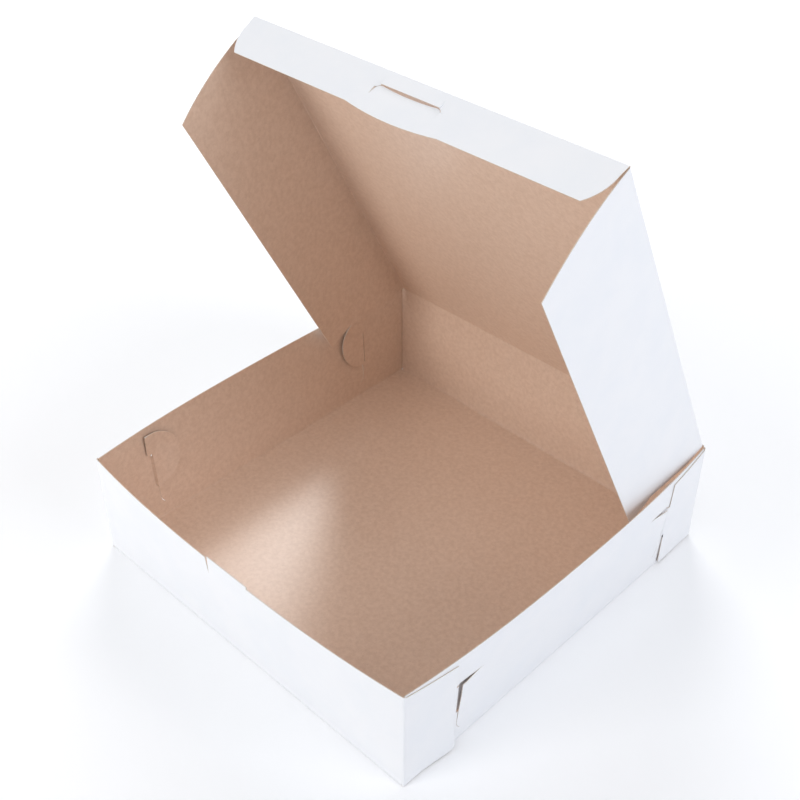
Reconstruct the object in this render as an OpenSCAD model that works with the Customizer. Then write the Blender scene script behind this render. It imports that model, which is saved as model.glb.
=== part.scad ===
// Bakery box folded from one sheet of board, with its lid standing open.
// The tray is held square by hooked corner locks and its front and side walls bow out at the top.
// The lid hinges on the back wall and carries a tuck flap in front and a flap on each side.
// Origin under the middle of the tray, front wall towards -Y, up +Z, sizes in mm.

/* [Tray] */
// Width of the tray over its corner flaps, in mm
tray_width = 230; // [160:1:320]
// Depth of the tray from the front wall to the back wall, in mm
tray_depth = 236; // [160:1:320]
// Height of the front and side walls, in mm
wall_height = 65; // [50:0.5:95]
// Outward bow in the middle of the top edge of the front and side walls, in mm
wall_bow = 6; // [0:0.5:10]

/* [Board] */
// Thickness of the board, in mm
board = 0.45; // [0.35:0.05:0.7]
// Outer radius of the folds of the tray, in mm
fold_radius = 1; // [0.8:0.1:2]

/* [Corner locks] */
// Distance of the lock slits from the corners of the tray, in mm
lock_setback = 34.5; // [28:0.5:45]
// Radius of the round tongues behind the side walls, in mm
tongue_radius = 19; // [14:0.5:21]
// Length of the slit leg that runs from the top of each lock slit, in mm
slit_leg = 17; // [10:0.5:25]
// Drop of the free end of a corner flap below the top of the wall, in mm
corner_flap_drop = 4; // [2:0.5:10]

/* [Front tongue] */
// Width of the tongue in the middle of the front wall, in mm
front_tongue_width = 30; // [20:1:50]
// Depth of the two slits beside the front tongue, in mm
front_tongue_depth = 12; // [6:0.5:20]
// Distance that the front tongue leans in from the wall, in mm
front_tongue_lean = 1.5; // [0:0.1:3]

/* [Lid] */
// Angle the lid stands open from closed, in degrees
lid_open = 63; // [20:1:120]
// Depth of the front flap, in mm
front_flap_depth = 25; // [18:0.5:36]
// Radius of the lower corners of the front flap, in mm
front_flap_corner = 12; // [4:0.5:14]
// Width of the tab cut in the front flap, in mm
tab_width = 40; // [25:1:60]
// Distance of the tab from the fold of the front flap, in mm
tab_setback = 8.5; // [6:0.5:10]
// Room left between the side flaps and the floor when the lid is closed, in mm
side_flap_room = 1.5; // [1:0.1:6]
// Distance that the front edge of a side flap curves back along its depth, in mm
side_flap_curve = 11.5; // [4:0.5:20]
// Relief at the rear of a side flap, in mm
side_flap_relief = 16.5; // [10:0.5:30]

/* [Hidden] */
$fn = 96;

// Colour of the coated outside of the board
coated_white = "#EEF1F5";
// Colour of the plain inside of the board, seen on the flaps
plain_kraft = "#C3A38B";
// Distance between the middles of two lapped layers of board
layer = board + 0.15;
// Clearance between parts that move past each other
play = 0.2;
// Diameter of the pressed bead along each fold of the lid
crease = board + 0.15;
// Width of a slit cut by a rule
slit = 0.8;
// Number of facets along a bowed wall and up it
columns = 40;
rows = 4;
// Number of facets along a cut arc
arc_steps = 12;
// Flattening of the bow along a wall, 2 for a parabola
bow_power = 2.5;

// Height of the middle of the lock tongues
lock_height = 0.645 * wall_height;
// Height of the top of the lock slits
slit_top = 0.71 * wall_height;
// Height where the upright part of a lock slit turns into its curved tail
slit_foot = 0.23 * wall_height;
// Radius of the curved tail of a lock slit
slit_tail = 7;
// Half the length in which a corner flap passes through its slit
passage = 1.7;
// Bottom and top of the neck that passes through a lock slit
neck_low = lock_height - tongue_radius + 1;
neck_high = slit_top - 1.2;
// Length of the hook that a tongue turns back past its slit
hook_back = 3;

// Place of the lid hinge
hinge_y = tray_depth / 2 - board / 2;
hinge_z = wall_height + crease / 2 + 0.3;
// Height of the back wall under the hinge bead
back_height = hinge_z - crease / 2 - play;
// Length of the lid from its hinge to the fold of its front flap
swing_radius = tray_depth - 1.5 * board - 0.3;
lid_length = sqrt(pow(swing_radius, 2) - pow(front_flap_depth, 2)) - board / 2;
// Sideways place of the folds of the side flaps, inside the lock tongues
side_fold_x = tray_width / 2 - 2 * layer - board - crease / 2 - play;
// Half width of the front flap, between the side flaps
front_flap_half = side_fold_x - board / 2 - 0.5;
// Half width and length of the flat lid panel
lid_half = side_fold_x - crease / 2 - play;
lid_reach = lid_length - crease / 2 - play;
// Drop of the folds of the side flaps below the lid, which lets the flaps fold flat against it
side_fold_drop = board + 0.05;
// Depth of the side flaps and the ends of their folds, from the hinge
side_flap_depth = hinge_z - board - side_flap_room - side_fold_drop;
side_flap_rear = 1.5;
side_flap_front = lid_length - 2;

// Points along an arc between two angles
function arc(centre, radius, from, to) = [
    for (i = [0 : arc_steps])
        let (turn = from + i / arc_steps * (to - from))
        centre + radius * [cos(turn), sin(turn)]
];

// Points along a shallow swell on a straight edge, from right to left
function swell(half, rise, edge) =
    let (radius = (pow(half, 2) + pow(rise, 2)) / (2 * rise))
    let (spread = asin(half / radius))
    arc([0, edge + rise - radius], radius, 90 - spread, 90 + spread);

// Part of the full bow at a place along a wall, 0 at its corners and 1 in its middle
function bow_share(along, length) = 1 - pow(abs(2 * along / length - 1), bow_power);

// Unit vector square to a plan path at one of its points, towards the left of the path
function left_of(path, i) =
    let (run = path[min(i + 1, len(path) - 1)] - path[max(i - 1, 0)])
    [-run.y, run.x] / norm(run);

// Path moved sideways to its left and set at a height
function beside(path, shift, z) = [
    for (i = [0 : len(path) - 1])
        let (p = path[i] + shift * left_of(path, i))
        [p.x, p.y, z]
];

// Plan of the right side wall from front to back; rim is 0 at its foot and 1 at its top
function side_path(inset, rim) = [
    for (i = [0 : columns])
        let (along = fold_radius + i / columns * (tray_depth - 2 * fold_radius))
        let (bow = rim * wall_bow * bow_share(along, tray_depth))
        [tray_width / 2 - board / 2 - inset + bow, along - tray_depth / 2]
];

// Plan of the front wall between two sideways places
function front_path(from, to, bow) = [
    for (i = [0 : columns])
        let (x = from + i / columns * (to - from))
        [x, (board - tray_depth) / 2 - bow * bow_share(x + tray_width / 2, tray_width)]
];

// Plan of a corner flap: round the corner fold, along the side wall and in through its slit
function corner_path(rim) = concat(
    [
        for (turn = [30, 60])
            [tray_width / 2, -tray_depth / 2] + fold_radius * [-1, 1]
                + (fold_radius - board / 2) * [sin(turn), -cos(turn)]
    ],
    [
        for (i = [0 : 6])
            let (along = fold_radius + i / 6 * (lock_setback - passage - fold_radius))
            let (bow = rim * wall_bow * bow_share(along, tray_depth))
            [tray_width / 2 - board / 2 + bow, along - tray_depth / 2]
    ],
    [
        let (along = lock_setback + passage + 0.2)
        let (bow = rim * wall_bow * bow_share(along, tray_depth))
        [tray_width / 2 - board / 2 - 2 * layer - 0.1 + bow, along - tray_depth / 2]
    ]
);

// Plan of an end wall with a corner flap at each end, from left to right
function end_path(bow, rim) =
    let (straight = tray_width / 2 - fold_radius)
    let (right = corner_path(rim))
    let (left = [for (i = [len(right) - 1 : -1 : 0]) [-right[i].x, right[i].y]])
    concat(left, front_path(-straight, straight, bow), right);

// Plan path part of the way up a board, between its foot and its rim
function between(foot, rim, part) = [
    for (i = [0 : len(foot) - 1])
        foot[i] + part * (rim[i] - foot[i])
];

// Board standing on one plan path at its foot and on another along its top edge
module standing_board(foot, rim, low, high) {
    n = len(foot);
    last = n - 1;
    ring = 2 * n;
    top = rows * ring;
    points = [
        for (row = [0 : rows])
            let (path = between(foot, rim, row / rows))
            let (z = low + row / rows * (high - low))
            each concat(beside(path, -board / 2, z), beside(path, board / 2, z))
    ];
    faces_up = [
        for (row = [0 : rows - 1], i = [0 : last - 1])
            let (a = row * ring + i)
            let (b = a + ring)
            each [
                [a, b, b + 1],
                [a, b + 1, a + 1],
                [a + n, a + n + 1, b + n + 1],
                [a + n, b + n + 1, b + n]
            ]
    ];
    edges = [
        for (i = [0 : last - 1])
            each [
                [top + i, top + n + i, top + n + i + 1, top + i + 1],
                [i, i + 1, n + i + 1, n + i]
            ]
    ];
    ends = [
        for (row = [0 : rows - 1])
            let (a = row * ring)
            let (b = a + ring)
            each [
                [a, a + n, b + n],
                [a, b + n, b],
                [a + last, b + last, b + n + last],
                [a + last, b + n + last, a + n + last]
            ]
    ];
    polyhedron(points, concat(faces_up, edges, ends), convexity = 8);
}

// Profile drawn in the plane of a side wall, from the front corner, carried across the tray
module across_tray() {
    translate([0, -tray_depth / 2, 0])
        rotate([90, 0, 90])
        linear_extrude(2 * tray_width, center = true)
        children();
}

// Shape repeated for the front and the back of the tray
module front_and_back() {
    children();
    mirror([0, 1, 0]) children();
}

// Section of the floor with the fold at each side of it
module floor_section(span) {
    reach = span / 2 - fold_radius;
    difference() {
        union() {
            translate([-reach, 0]) square([2 * reach, fold_radius]);
            for (side = [-1, 1]) translate([side * reach, fold_radius]) circle(fold_radius);
        }
        translate([-reach, board]) square([2 * reach, 2 * fold_radius]);
        for (side = [-1, 1]) translate([side * reach, fold_radius]) circle(fold_radius - board);
        translate([-span, fold_radius]) square([2 * span, 2 * fold_radius]);
    }
}

// Floor with the folds that turn up into the four walls
module tray_floor() {
    rotate([90, 0, 0])
        linear_extrude(tray_depth - 3 * fold_radius, center = true)
        floor_section(tray_width - 2 * layer);
    rotate([90, 0, 90])
        linear_extrude(tray_width - 2 * layer - 3 * fold_radius, center = true)
        floor_section(tray_depth);
}

// Outline of an end wall and its corner flaps, seen from the side
module end_outline() {
    far = tray_depth / 8;
    corner = 1.2 * fold_radius;
    flap_end = lock_setback - passage;
    over = wall_height + 2;
    polygon([
        [-far, 0],
        [flap_end, 0],
        [flap_end, neck_low],
        [flap_end + far, neck_low],
        [flap_end + far, neck_high],
        [flap_end, neck_high],
        [flap_end, wall_height - corner_flap_drop],
        [corner, wall_height - 0.8],
        [corner, over],
        [-far, over]
    ]);
}

// End wall with a corner flap at each end
module end_wall(bow, height) {
    rim = (height - fold_radius) / (wall_height - fold_radius);
    intersection() {
        standing_board(end_path(0, 0), end_path(rim * bow, rim), fold_radius, height);
        across_tray() end_outline();
    }
}

// Front wall with a tongue between two slits in its top edge
module front_wall() {
    low = wall_height - front_tongue_depth;
    half = front_tongue_width / 2;
    rim = (low - fold_radius) / (wall_height - fold_radius);
    difference() {
        end_wall(wall_bow, wall_height);
        translate([-half - slit, -tray_depth, low])
            cube([2 * half + 2 * slit, tray_depth, front_tongue_depth + 1]);
    }
    translate([0, 0, low]) {
        foot = front_path(-half, half, rim * wall_bow);
        top = [for (p = front_path(-half, half, wall_bow)) p + [0, front_tongue_lean]];
        standing_board(foot, top, 0, front_tongue_depth);
    }
}

// Cut in a side wall for one corner lock: window of the neck, leg above and curved tail below
module lock_slit() {
    edge = lock_setback + passage;
    tail_centre = [edge - slit / 2 + slit_tail, slit_foot];
    translate([lock_setback - passage, neck_low - 1])
        square([2 * passage, slit_top - neck_low + 1]);
    translate([lock_setback, slit_top - slit])
        square([slit_leg, slit]);
    polygon(concat(
        [[edge, neck_low], [edge - slit, neck_low]],
        arc(tail_centre, slit_tail + slit / 2, 180, 235),
        arc(tail_centre, slit_tail - slit / 2, 235, 180)
    ));
}

// Round tongue of a corner lock with its hook turned back above the slit
module lock_tongue() {
    difference() {
        intersection() {
            translate([lock_setback, lock_height]) circle(tongue_radius);
            translate([lock_setback - hook_back, 0]) square([2 * tongue_radius, wall_height - 2]);
        }
        square([lock_setback + 0.5, slit_top + 1]);
    }
}

// Right side wall with its two lock slits and the tongues that lie inside it
module side_wall() {
    difference() {
        standing_board(side_path(layer, 0), side_path(layer, 1), fold_radius, wall_height);
        front_and_back() across_tray() lock_slit();
    }
    intersection() {
        standing_board(side_path(2 * layer, 0), side_path(2 * layer, 1), fold_radius, wall_height);
        front_and_back() across_tray() lock_tongue();
    }
}

// Open tray folded from the floor, two end walls and two side walls
module tray() {
    color(coated_white) {
        tray_floor();
        front_wall();
        mirror([0, 1, 0]) end_wall(0, back_height);
        side_wall();
        mirror([1, 0, 0]) side_wall();
    }
}

// Frame of the open lid: hinge along X, closed panel towards -Y, inside of the lid towards -Z
module on_lid() {
    translate([0, hinge_y, hinge_z]) rotate([-lid_open, 0, 0]) children();
}

// Flat panel of the lid with the hinge bead along its rear edge
module lid() {
    color(coated_white) on_lid() {
        translate([-lid_half, -lid_reach, -board / 2])
            cube([2 * lid_half, lid_reach, board]);
        rotate([0, 90, 0]) cylinder(d = crease, h = 2 * lid_half, center = true);
    }
}

// Outline of the front flap, down from its fold
module front_flap_outline() {
    taper = 2;
    shoulder = front_flap_depth - front_flap_corner;
    lower = front_flap_half - taper - front_flap_corner;
    polygon(concat(
        [[front_flap_half, 0]],
        arc([lower, shoulder], front_flap_corner, 0, 90),
        swell(0.55 * tab_width, 1.5, front_flap_depth),
        arc([-lower, shoulder], front_flap_corner, 90, 180),
        [[-front_flap_half, 0]]
    ));
}

// Slit round the tab of the front flap, open in the middle where the tab springs out
module tab_slit() {
    corner = 5;
    leg = 7;
    half = tab_width / 2;
    centre = [half - corner, tab_setback + corner];
    mirrored = [corner - half, tab_setback + corner];
    polygon(concat(
        [[-half, tab_setback + leg]],
        arc(mirrored, corner, 180, 270),
        arc(centre, corner, 270, 360),
        [[half, tab_setback + leg], [half - slit, tab_setback + leg]],
        arc(centre, corner - slit, 360, 270),
        swell(half - corner - slit, 1.2, tab_setback + slit),
        arc(mirrored, corner - slit, 270, 180),
        [[slit - half, tab_setback + leg]]
    ));
}

// Front flap folded square to the lid, with the bead of its fold
module lid_front_flap() {
    color(plain_kraft) on_lid() translate([0, -lid_length, 0]) {
        rotate([-90, 0, 0])
            linear_extrude(board, center = true)
            difference() {
                front_flap_outline();
                tab_slit();
            }
        rotate([0, 90, 0]) cylinder(d = crease, h = 2 * front_flap_half, center = true);
    }
}

// Outline of a side flap: along the lid from the hinge, down from the fold
module side_flap_outline() {
    front_radius = (pow(side_flap_depth, 2) + pow(side_flap_curve, 2)) / (2 * side_flap_curve);
    intersection() {
        polygon([
            [side_flap_rear, 0],
            [side_flap_front, 0],
            [side_flap_front, side_flap_depth],
            [side_flap_relief, side_flap_depth],
            [side_flap_relief, 0.56 * side_flap_depth],
            [side_flap_rear + 1, 0.13 * side_flap_depth]
        ]);
        translate([side_flap_front - front_radius, 0]) circle(front_radius, $fn = 360);
    }
}

// Side flap folded square to the lid, on the right, with the bead of its fold
module side_flap() {
    translate([side_fold_x, 0, -side_fold_drop]) rotate([180, 0, 0]) {
        rotate([90, 0, 90])
            linear_extrude(board, center = true)
            side_flap_outline();
        translate([0, side_flap_rear, 0])
            rotate([-90, 0, 0])
            cylinder(d = crease, h = side_flap_front - side_flap_rear);
    }
}

// Side flap on the right of the lid
module lid_right_flap() {
    color(plain_kraft) on_lid() side_flap();
}

// Side flap on the left of the lid
module lid_left_flap() {
    color(plain_kraft) on_lid() mirror([1, 0, 0]) side_flap();
}

tray();
lid();
lid_front_flap();
lid_left_flap();
lid_right_flap();
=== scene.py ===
"""Looks of the bakery box: one sheet of board, cut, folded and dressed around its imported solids."""

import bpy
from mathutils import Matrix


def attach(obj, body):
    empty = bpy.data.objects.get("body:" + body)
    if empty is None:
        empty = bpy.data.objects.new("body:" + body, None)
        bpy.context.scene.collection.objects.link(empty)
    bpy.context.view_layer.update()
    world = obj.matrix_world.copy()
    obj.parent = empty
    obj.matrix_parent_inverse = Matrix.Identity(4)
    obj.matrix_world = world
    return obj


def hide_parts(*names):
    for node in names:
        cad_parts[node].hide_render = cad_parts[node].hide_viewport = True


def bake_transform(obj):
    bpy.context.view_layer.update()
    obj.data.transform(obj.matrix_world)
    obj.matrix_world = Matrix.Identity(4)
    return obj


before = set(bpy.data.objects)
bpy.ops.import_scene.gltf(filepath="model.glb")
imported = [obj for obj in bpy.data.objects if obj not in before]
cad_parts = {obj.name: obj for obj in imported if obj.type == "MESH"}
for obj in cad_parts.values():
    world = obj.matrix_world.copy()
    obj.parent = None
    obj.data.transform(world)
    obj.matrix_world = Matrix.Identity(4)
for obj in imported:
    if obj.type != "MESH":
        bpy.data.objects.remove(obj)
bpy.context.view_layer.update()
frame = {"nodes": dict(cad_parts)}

import logging
import math
from collections.abc import Callable, Sequence
from dataclasses import dataclass, field
from enum import Enum

import bmesh
import bpy
import numpy as np
from mathutils import Vector
from mathutils.geometry import delaunay_2d_cdt

LOG = logging.getLogger("bakery_box")
MM = 0.001

# Sockets of a colour Mix node, which share their names with its other kinds
MIX_SHARE, MIX_FIRST, MIX_SECOND, MIX_RESULT = 0, 6, 7, 2
# Distances in millimetres under which points are one point, and areas under which a face is none
SAME_POINT, JOINED, NO_AREA = 1e-6, 0.002, 1e-7
# Number of sides of a pressed bead, and of parts across a fold of the tray and of the lid
BEAD_SIDES, TRAY_FOLD_PARTS, LID_FOLD_PARTS = 10, 5, 8

Point = tuple[float, float]
Loop = list[Point]


class Side(Enum):
    """Left or right of the box, as the sign of X."""

    LEFT = -1
    RIGHT = 1


class End(Enum):
    """Front or back of the tray, as the sign of Y."""

    FRONT = -1
    BACK = 1


class Layer(Enum):
    """Material slots of a sheet of board."""

    OUTSIDE = 0
    INSIDE = 1
    CUT_EDGE = 2


def smooth(value: float, low: float, high: float) -> float:
    """Rise smoothly from 0 at low to 1 at high.

    Args:
        value: Place on the way from low to high.
        low: Place where the rise starts.
        high: Place where the rise ends; it may lie below low.

    Returns:
        Share of the rise, from 0 to 1.
    """
    share = min(max((value - low) / (high - low), 0.0), 1.0)
    return share * share * (3 - 2 * share)


def linear(code: str) -> tuple[float, float, float, float]:
    """Turn an sRGB hex colour into linear red, green, blue and alpha.

    Args:
        code: Colour such as "#C4A48C".

    Returns:
        Linear colour with full alpha.
    """
    parts = [int(code[i:i + 2], 16) / 255 for i in (1, 3, 5)]
    red, green, blue = [p / 12.92 if p <= 0.04045 else ((p + 0.055) / 1.055) ** 2.4 for p in parts]
    return red, green, blue, 1.0


def add_node(
        tree: bpy.types.NodeTree, kind: str, inputs: dict | None = None,
        **settings: object) -> bpy.types.Node:
    """Add a node with its settings, input values and links.

    Args:
        tree: Tree that the node is added to.
        kind: Type name of the node.
        inputs: Value or output socket for each input, by its name or number.
        settings: Properties of the node.

    Returns:
        The new node.
    """
    node = tree.nodes.new(kind)
    for name, value in settings.items():
        setattr(node, name, value)
    for key, value in (inputs or {}).items():
        if isinstance(value, bpy.types.NodeSocket):
            tree.links.new(value, node.inputs[key])
        else:
            node.inputs[key].default_value = value
    return node


def new_material(name: str) -> tuple[bpy.types.Material, bpy.types.NodeTree]:
    """Make an empty node material.

    Args:
        name: Name of the real material.

    Returns:
        The material and its tree, with no nodes in it.
    """
    material = bpy.data.materials.new(name)
    material.use_nodes = True
    material.node_tree.nodes.clear()
    return material, material.node_tree


def scale_of(size_mm: float) -> float:
    """Texture scale that gives a pattern of this size in millimetres."""
    return 1 / (size_mm * MM)


@dataclass(frozen=True)
class CoatedPaper:
    """White clay coating on the outside of the board.

    A blade-coated liner is smooth and faintly satin, with cloudy tone where the fibres below
    take up more or less of the coating, and a slight waviness that softens reflections.
    """

    tint: str = "#F0F1F4"
    cloud: str = "#EDEFF3"
    roughness: float = 0.58
    ior: float = 1.5
    gloss: float = 0.3
    cloud_mm: float = 22.0
    cloud_ends: Point = (0.35, 0.65)
    # Real coating grain is about 0.2 mm, drawn coarser so that it shows
    grain_mm: float = 0.9
    relief_mm: float = 0.012
    relief_share: float = 0.25

    def make(self) -> bpy.types.Material:
        """Build the material.

        Returns:
            The finished material.
        """
        material, tree = new_material("clay_coated_paper")
        place = add_node(tree, "ShaderNodeTexCoord").outputs["Object"]
        cloud = add_node(tree, "ShaderNodeTexNoise", {
            "Vector": place, "Scale": scale_of(self.cloud_mm), "Detail": 4.0, "Roughness": 0.6})
        grain = add_node(tree, "ShaderNodeTexNoise", {
            "Vector": place, "Scale": scale_of(self.grain_mm), "Detail": 2.0})
        share = add_node(tree, "ShaderNodeMapRange", {
            "Value": cloud.outputs["Fac"], "From Min": self.cloud_ends[0], "From Max": self.cloud_ends[1]})
        colour = add_node(tree, "ShaderNodeMix", {
            MIX_SHARE: share.outputs["Result"], MIX_FIRST: linear(self.tint),
            MIX_SECOND: linear(self.cloud)}, data_type="RGBA")
        bump = add_node(tree, "ShaderNodeBump", {
            "Height": grain.outputs["Fac"], "Strength": self.relief_share,
            "Distance": self.relief_mm * MM})
        shader = add_node(tree, "ShaderNodeBsdfPrincipled", {
            "Base Color": colour.outputs[MIX_RESULT], "Roughness": self.roughness, "IOR": self.ior,
            "Specular IOR Level": self.gloss, "Normal": bump.outputs["Normal"]})
        add_node(tree, "ShaderNodeOutputMaterial", {"Surface": shader.outputs["BSDF"]})
        return material


@dataclass(frozen=True)
class KraftLiner:
    """Plain kraft liner on the inside of the board.

    Unbleached wood pulp is brown, mottled where fibres lie thick or thin, with fine fibres,
    darker specks of bark and paler flecks. The rollers leave it smooth, so that a lamp that
    shines along it gives a soft bright patch.
    """

    tint: str = "#E0C6B2"
    thin: str = "#D4B8A3"
    pale: str = "#E9D4C4"
    speck: str = "#B39582"
    roughness: float = 0.33
    ior: float = 1.6
    gloss: float = 1.0
    mottle_mm: float = 2.6
    mottle_ends: Point = (0.36, 0.64)
    # Real fibres are about 0.03 mm wide, drawn coarser so that they show
    fibre_mm: float = 1.1
    fibre_ends: Point = (0.56, 0.74)
    fibre_share: float = 0.55
    fibre_curl: float = 1.6
    speck_mm: float = 2.6
    speck_ends: Point = (0.16, 0.08)
    speck_share: float = 0.2
    relief_mm: float = 0.03
    relief_share: float = 0.35

    def make(self) -> bpy.types.Material:
        """Build the material.

        Returns:
            The finished material.
        """
        material, tree = new_material("kraft_liner")
        place = add_node(tree, "ShaderNodeTexCoord").outputs["Object"]
        mottle = add_node(tree, "ShaderNodeTexNoise", {
            "Vector": place, "Scale": scale_of(self.mottle_mm), "Detail": 5.0, "Roughness": 0.65})
        fibre = add_node(tree, "ShaderNodeTexNoise", {
            "Vector": place, "Scale": scale_of(self.fibre_mm), "Detail": 3.0, "Roughness": 0.7,
            "Distortion": self.fibre_curl})
        speck = add_node(tree, "ShaderNodeTexVoronoi", {
            "Vector": place, "Scale": scale_of(self.speck_mm), "Randomness": 1.0})
        thick = add_node(tree, "ShaderNodeMapRange", {
            "Value": mottle.outputs["Fac"], "From Min": self.mottle_ends[0],
            "From Max": self.mottle_ends[1]})
        fleck = add_node(tree, "ShaderNodeMapRange", {
            "Value": fibre.outputs["Fac"], "From Min": self.fibre_ends[0], "From Max": self.fibre_ends[1],
            "To Max": self.fibre_share})
        bark = add_node(tree, "ShaderNodeMapRange", {
            "Value": speck.outputs["Distance"], "From Min": self.speck_ends[0],
            "From Max": self.speck_ends[1], "To Max": self.speck_share})
        base = add_node(tree, "ShaderNodeMix", {
            MIX_SHARE: thick.outputs["Result"], MIX_FIRST: linear(self.thin),
            MIX_SECOND: linear(self.tint)}, data_type="RGBA")
        fibred = add_node(tree, "ShaderNodeMix", {
            MIX_SHARE: fleck.outputs["Result"], MIX_FIRST: base.outputs[MIX_RESULT],
            MIX_SECOND: linear(self.pale)}, data_type="RGBA")
        specked = add_node(tree, "ShaderNodeMix", {
            MIX_SHARE: bark.outputs["Result"], MIX_FIRST: fibred.outputs[MIX_RESULT],
            MIX_SECOND: linear(self.speck)}, data_type="RGBA")
        bump = add_node(tree, "ShaderNodeBump", {
            "Height": fibre.outputs["Fac"], "Strength": self.relief_share,
            "Distance": self.relief_mm * MM})
        shader = add_node(tree, "ShaderNodeBsdfPrincipled", {
            "Base Color": specked.outputs[MIX_RESULT], "Roughness": self.roughness, "IOR": self.ior,
            "Specular IOR Level": self.gloss, "Normal": bump.outputs["Normal"]})
        add_node(tree, "ShaderNodeOutputMaterial", {"Surface": shader.outputs["BSDF"]})
        return material


@dataclass(frozen=True)
class CutBoard:
    """Die-cut edge of the board.

    The knife leaves the grey-brown fibre core bare between its two liners, rough and matt.
    """

    core: str = "#C9BDB0"
    torn: str = "#E4DCD2"
    roughness: float = 0.85
    ior: float = 1.46
    # Real fibre ends are under 0.1 mm, drawn coarser so that they show
    fibre_mm: float = 0.8

    def make(self) -> bpy.types.Material:
        """Build the material.

        Returns:
            The finished material.
        """
        material, tree = new_material("die_cut_board_edge")
        place = add_node(tree, "ShaderNodeTexCoord").outputs["Object"]
        fibre = add_node(tree, "ShaderNodeTexNoise", {
            "Vector": place, "Scale": scale_of(self.fibre_mm), "Detail": 3.0})
        colour = add_node(tree, "ShaderNodeMix", {
            MIX_SHARE: fibre.outputs["Fac"], MIX_FIRST: linear(self.core),
            MIX_SECOND: linear(self.torn)}, data_type="RGBA")
        shader = add_node(tree, "ShaderNodeBsdfPrincipled", {
            "Base Color": colour.outputs[MIX_RESULT], "Roughness": self.roughness, "IOR": self.ior})
        add_node(tree, "ShaderNodeOutputMaterial", {"Surface": shader.outputs["BSDF"]})
        return material


@dataclass
class Board:
    """The board that the box is cut from, with its three finishes."""

    thickness: float = 0.45
    sharp_deg: float = 38.0
    outside: bpy.types.Material = field(default_factory=lambda: CoatedPaper().make())
    inside: bpy.types.Material = field(default_factory=lambda: KraftLiner().make())
    cut_edge: bpy.types.Material = field(default_factory=lambda: CutBoard().make())

    def thicken(self, piece: bpy.types.Object) -> None:
        """Give a bare sheet its thickness, its two faces and its cut edges.

        Args:
            piece: Object whose mesh is the middle of the sheet, facing the coated side.
        """
        piece.data.materials.clear()
        for material in (self.outside, self.inside, self.cut_edge):
            piece.data.materials.append(material)
        solid = piece.modifiers.new("board", "SOLIDIFY")
        solid.thickness = self.thickness * MM
        solid.offset = 0
        solid.use_even_offset = True
        solid.use_quality_normals = True
        solid.material_offset = Layer.INSIDE.value
        solid.material_offset_rim = Layer.CUT_EDGE.value
        make_plain(piece)
        piece.data.shade_smooth()
        piece.data.set_sharp_from_angle(angle=math.radians(self.sharp_deg))


def make_plain(piece: bpy.types.Object) -> None:
    """Turn an object and its modifiers into a plain mesh.

    Args:
        piece: Object whose modifiers are applied and removed.
    """
    bpy.context.view_layer.update()
    graph = bpy.context.evaluated_depsgraph_get()
    mesh = bpy.data.meshes.new_from_object(piece.evaluated_get(graph))
    piece.modifiers.clear()
    piece.data = mesh
    mesh.name = piece.name


@dataclass
class Spot:
    """A point of the folded sheet, and how the wall bows there."""

    place: Vector
    along: float = 0.0
    up: float = 0.0
    out: Vector = field(default_factory=lambda: Vector((0.0, 0.0, 0.0)))


Fold = Callable[[float, float], Spot]


def densify(loop: Loop, step: float) -> Loop:
    """Split the sides of a loop into equal parts no longer than a step.

    Args:
        loop: Corners of the loop.
        step: Longest part.

    Returns:
        Corners and the points between them.
    """
    points: Loop = []
    for (ax, ay), (bx, by) in zip(loop, loop[1:] + loop[:1]):
        count = max(1, math.ceil(math.hypot(bx - ax, by - ay) / step - SAME_POINT))
        points += [(ax + (bx - ax) * i / count, ay + (by - ay) * i / count) for i in range(count)]
    return points


def arc(centre: Point, radius: float, start: float, stop: float, count: int = 12) -> Loop:
    """Points along an arc, both ends among them.

    Args:
        centre: Centre of the arc.
        radius: Radius of the arc.
        start: First angle in degrees.
        stop: Last angle in degrees.
        count: Number of parts.

    Returns:
        The points in order.
    """
    turns = [math.radians(start + (stop - start) * i / count) for i in range(count + 1)]
    return [(centre[0] + radius * math.cos(t), centre[1] + radius * math.sin(t)) for t in turns]


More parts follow.
